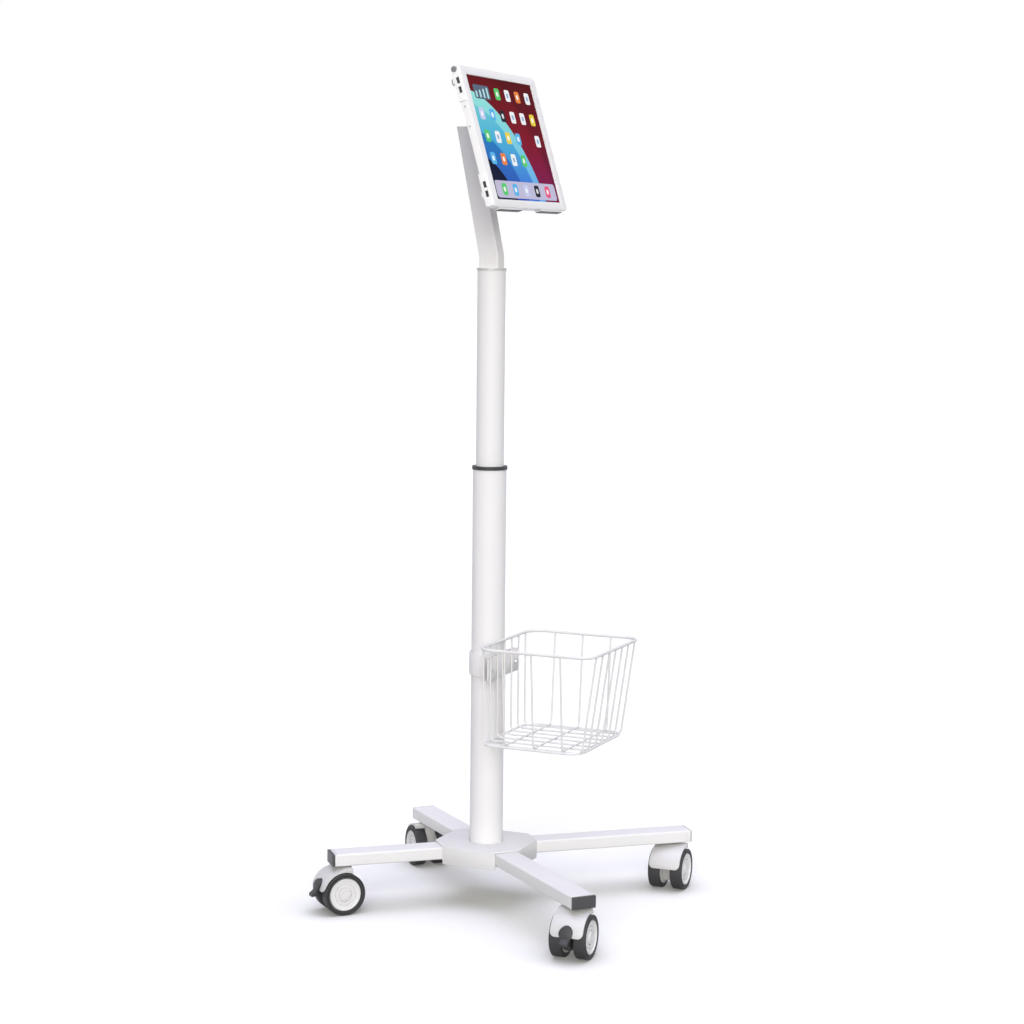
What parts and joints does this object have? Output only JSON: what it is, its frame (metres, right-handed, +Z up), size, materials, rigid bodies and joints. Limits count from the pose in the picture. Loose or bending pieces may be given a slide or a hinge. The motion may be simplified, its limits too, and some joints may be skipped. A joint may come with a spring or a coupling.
{
  "type": "mobile tablet cart",
  "caption": "Mobile stand on braked and free casters, with a telescopic column, a wire basket and a tilting, turning holder for a tablet.",
  "frame": {"origin": "on the floor, on the column's axis", "axes": "+Z up along the column, -Y towards the cart's front, where the screen faces, +X to the right of someone who faces the screen"},
  "size_m": [0.5219, 0.5097, 1.3386],
  "materials": {
    "white_steel": "white powder coat",
    "white_wire": "white powder coat over wire",
    "bare_steel": "bright zinc",
    "charcoal_plastic": "fine moulded grain",
    "white_plastic": "satin moulded",
    "tread": "moulded tread",
    "tablet_metal": "bead blasted",
    "screen_glass": "polished",
    "gas_spring": "black enamel"
  },
  "bodies": {
    "base": {"hub_housing": "white_steel", "hub_base_plate": "white_steel", "front_left_leg": "white_steel", "front_right_leg": "white_steel", "rear_left_leg": "white_steel", "rear_right_leg": "white_steel", "leg_end_caps": "charcoal_plastic", "column_lower_tube": "white_steel", "gas_spring_cylinder": "gas_spring", "basket_clamp_strap": "white_steel", "basket_clamp_plate": "white_steel", "basket": "white_wire", "caster_stems": "bare_steel"},
    "mast": {"column_upper_tube": "white_steel", "gas_spring_rod": "bare_steel", "arm": "white_steel", "head_bracket": "white_steel", "hinge_pin": "bare_steel"},
    "head": {"tilt_plate": "white_steel"},
    "holder": {"holder_back": "white_steel", "holder_frame": "white_plastic", "tablet_body": "tablet_metal", "tablet_screen": "screen_glass"},
    "lock": {"cam_lock": "bare_steel"},
    "front_left_caster": {"front_left_caster_housing": "white_plastic", "front_left_caster_axle": "bare_steel"},
    "front_left_wheel_a": {"front_left_wheel_a": "tread"},
    "front_left_wheel_b": {"front_left_wheel_b": "tread"},
    "front_left_brake": {"front_left_brake_lever": "charcoal_plastic"},
    "front_right_caster": {"front_right_caster_housing": "white_plastic", "front_right_caster_axle": "bare_steel"},
    "front_right_wheel_a": {"front_right_wheel_a": "tread"},
    "front_right_wheel_b": {"front_right_wheel_b": "tread"},
    "rear_left_caster": {"rear_left_caster_housing": "white_plastic", "rear_left_caster_axle": "bare_steel"},
    "rear_left_wheel_a": {"rear_left_wheel_a": "tread"},
    "rear_left_wheel_b": {"rear_left_wheel_b": "tread"},
    "rear_left_brake": {"rear_left_brake_lever": "charcoal_plastic"},
    "rear_right_caster": {"rear_right_caster_housing": "white_plastic", "rear_right_caster_axle": "bare_steel"},
    "rear_right_wheel_a": {"rear_right_wheel_a": "tread"},
    "rear_right_wheel_b": {"rear_right_wheel_b": "tread"}
  },
  "joints": [
    {"name": "mast_slide", "type": "slide", "parent": "base", "child": "mast", "axis": [0, 0, 1], "range_m": [-0.3, 0]},
    {"name": "head_tilt", "type": "hinge", "parent": "mast", "child": "head", "pos_m": [0, -0.001, 1.226], "axis": [1, 0, 0], "range_deg": [-45, 15]},
    {"name": "holder_turn", "type": "hinge", "parent": "head", "child": "holder", "pos_m": [0, -0.02449, 1.22811], "axis": [0, -0.9593, 0.2823], "range_deg": [-90, 90]},
    {"name": "lock_turn", "type": "hinge", "parent": "holder", "child": "lock", "pos_m": [-0.1391, 0.00065, 1.31354], "axis": [0, -0.9593, 0.2823], "range_deg": [0, 90]},
    {"name": "front_left_swivel", "type": "hinge", "parent": "base", "child": "front_left_caster", "pos_m": [-0.21486, -0.24717, 0.06], "axis": [0, 0, 1], "continuous": true},
    {"name": "front_left_wheel_a_spin", "type": "hinge", "parent": "front_left_caster", "child": "front_left_wheel_a", "pos_m": [-0.22584, -0.24774, 0.034], "axis": [0.0523, -0.9986, 0], "continuous": true},
    {"name": "front_left_wheel_b_spin", "type": "hinge", "parent": "front_left_caster", "child": "front_left_wheel_b", "pos_m": [-0.22584, -0.24774, 0.034], "axis": [0.0523, -0.9986, 0], "continuous": true},
    {"name": "front_left_brake_press", "type": "hinge", "parent": "front_left_caster", "child": "front_left_brake", "pos_m": [-0.23983, -0.24848, 0.03], "axis": [0.0523, -0.9986, 0], "range_deg": [0, 15]},
    {"name": "front_right_swivel", "type": "hinge", "parent": "base", "child": "front_right_caster", "pos_m": [0.21486, -0.24717, 0.06], "axis": [0, 0, 1], "continuous": true},
    {"name": "front_right_wheel_a_spin", "type": "hinge", "parent": "front_right_caster", "child": "front_right_wheel_a", "pos_m": [0.20387, -0.24755, 0.034], "axis": [0.0349, -0.9994, 0], "continuous": true},
    {"name": "front_right_wheel_b_spin", "type": "hinge", "parent": "front_right_caster", "child": "front_right_wheel_b", "pos_m": [0.20387, -0.24755, 0.034], "axis": [0.0349, -0.9994, 0], "continuous": true},
    {"name": "rear_left_swivel", "type": "hinge", "parent": "base", "child": "rear_left_caster", "pos_m": [-0.1545, 0.17773, 0.06], "axis": [0, 0, 1], "continuous": true},
    {"name": "rear_left_wheel_a_spin", "type": "hinge", "parent": "rear_left_caster", "child": "rear_left_wheel_a", "pos_m": [-0.1628, 0.18495, 0.034], "axis": [-0.6561, -0.7547, 0], "continuous": true},
    {"name": "rear_left_wheel_b_spin", "type": "hinge", "parent": "rear_left_caster", "child": "rear_left_wheel_b", "pos_m": [-0.1628, 0.18495, 0.034], "axis": [-0.6561, -0.7547, 0], "continuous": true},
    {"name": "rear_left_brake_press", "type": "hinge", "parent": "rear_left_caster", "child": "rear_left_brake", "pos_m": [-0.17337, 0.19414, 0.03], "axis": [-0.6561, -0.7547, 0], "range_deg": [0, 15]},
    {"name": "rear_right_swivel", "type": "hinge", "parent": "base", "child": "rear_right_caster", "pos_m": [0.1545, 0.17773, 0.06], "axis": [0, 0, 1], "continuous": true},
    {"name": "rear_right_wheel_a_spin", "type": "hinge", "parent": "rear_right_caster", "child": "rear_right_wheel_a", "pos_m": [0.16228, 0.18551, 0.034], "axis": [-0.7071, 0.7071, 0], "continuous": true},
    {"name": "rear_right_wheel_b_spin", "type": "hinge", "parent": "rear_right_caster", "child": "rear_right_wheel_b", "pos_m": [0.16228, 0.18551, 0.034], "axis": [-0.7071, 0.7071, 0], "continuous": true}
  ]
}
